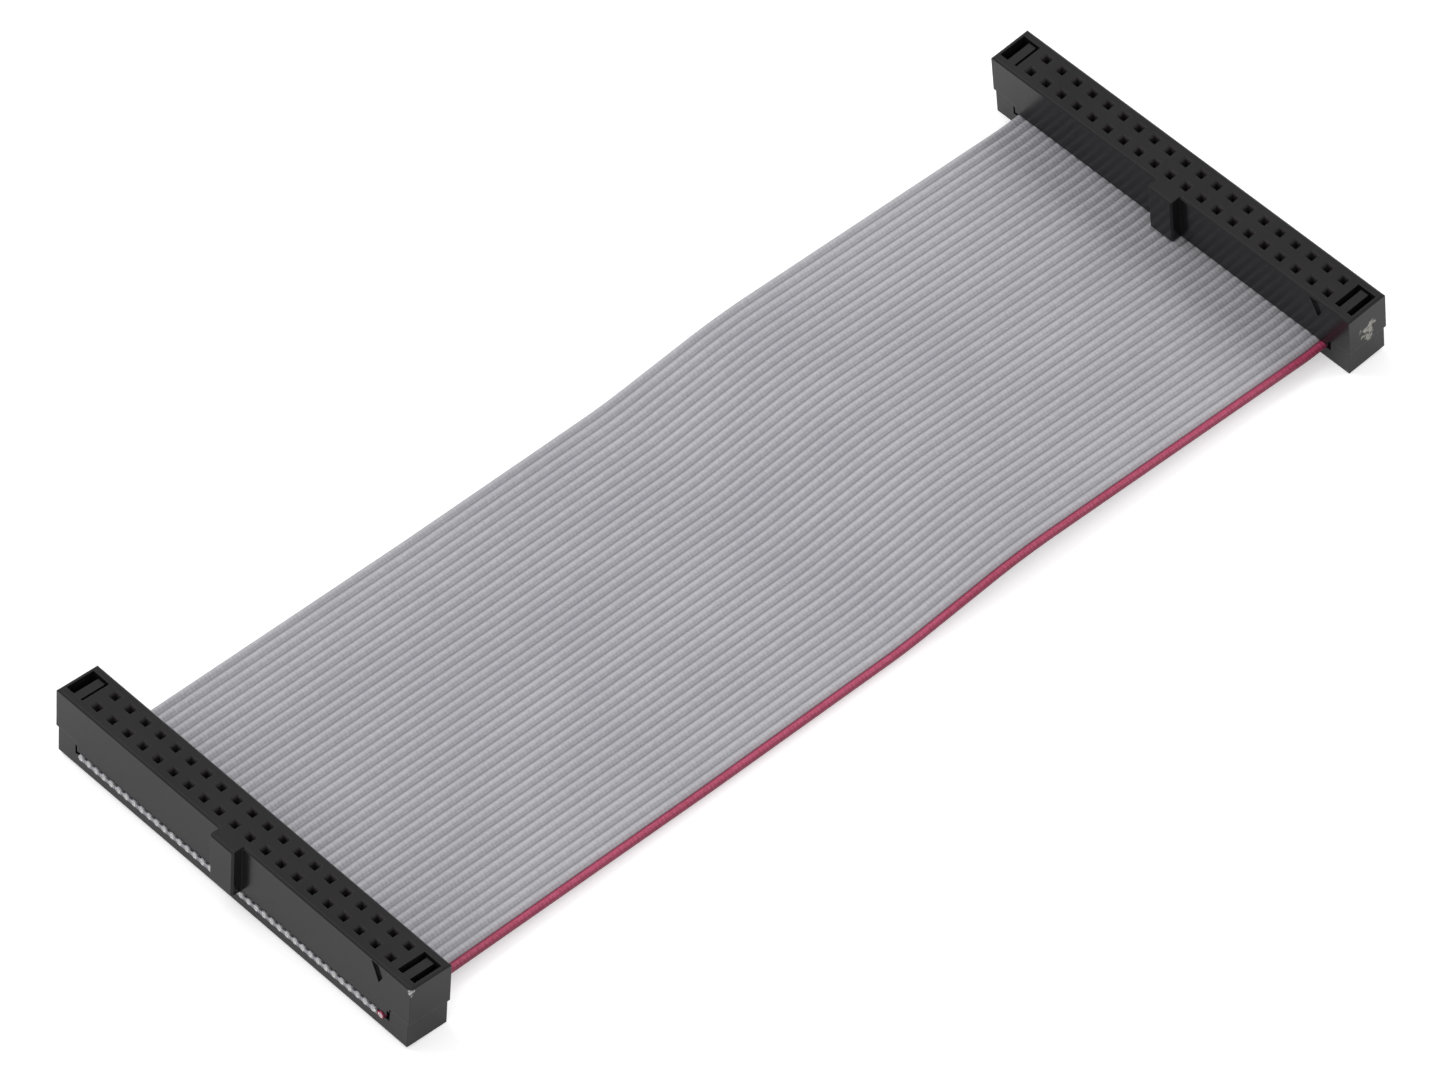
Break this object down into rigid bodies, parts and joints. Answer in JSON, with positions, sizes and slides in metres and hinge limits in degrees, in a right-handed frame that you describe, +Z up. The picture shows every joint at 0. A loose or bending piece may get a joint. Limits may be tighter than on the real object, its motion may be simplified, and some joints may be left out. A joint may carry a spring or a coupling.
{
  "type": "ribbon cable",
  "caption": "Flat grey ribbon cable with a red edge wire, clamped at each end in a black two-row socket connector with a polarising key on one long side.",
  "frame": {"origin": "middle of the overall box, at floor height: between the two sockets, under the cable", "axes": "+X along the sockets towards the red edge wire, +Y along the cable from the near to the far socket, +Z up, the way the mating faces look"},
  "size_m": [0.0582, 0.151, 0.0099],
  "materials": {
    "housing": "moulded, satin to glossy black",
    "cover": "moulded, satin black",
    "contact": "stamped, thin gold plate",
    "grey_insulation": "extruded, soft sheen",
    "red_insulation": "extruded, soft sheen",
    "core": "tinned copper strand"
  },
  "bodies": {
    "root": {"near_housing": "housing", "near_cover": "cover", "near_contacts_front": "contact", "near_contacts_rear": "contact", "far_housing": "housing", "far_cover": "cover", "far_contacts_front": "contact", "far_contacts_rear": "contact", "insulation_grey": "grey_insulation", "insulation_red": "red_insulation", "core_01": "core", "core_02": "core", "core_03": "core", "core_04": "core", "core_05": "core", "core_06": "core", "core_07": "core", "core_08": "core", "core_09": "core", "core_10": "core", "core_11": "core", "core_12": "core", "core_13": "core", "core_14": "core", "core_15": "core", "core_16": "core", "core_17": "core", "core_18": "core", "core_19": "core", "core_20": "core", "core_21": "core", "core_22": "core", "core_23": "core", "core_24": "core", "core_25": "core", "core_26": "core", "core_27": "core", "core_28": "core", "core_29": "core", "core_30": "core", "core_31": "core", "core_32": "core", "core_33": "core", "core_34": "core", "core_35": "core", "core_36": "core", "core_37": "core", "core_38": "core", "core_39": "core", "core_40": "core"}
  },
  "joints": []
}
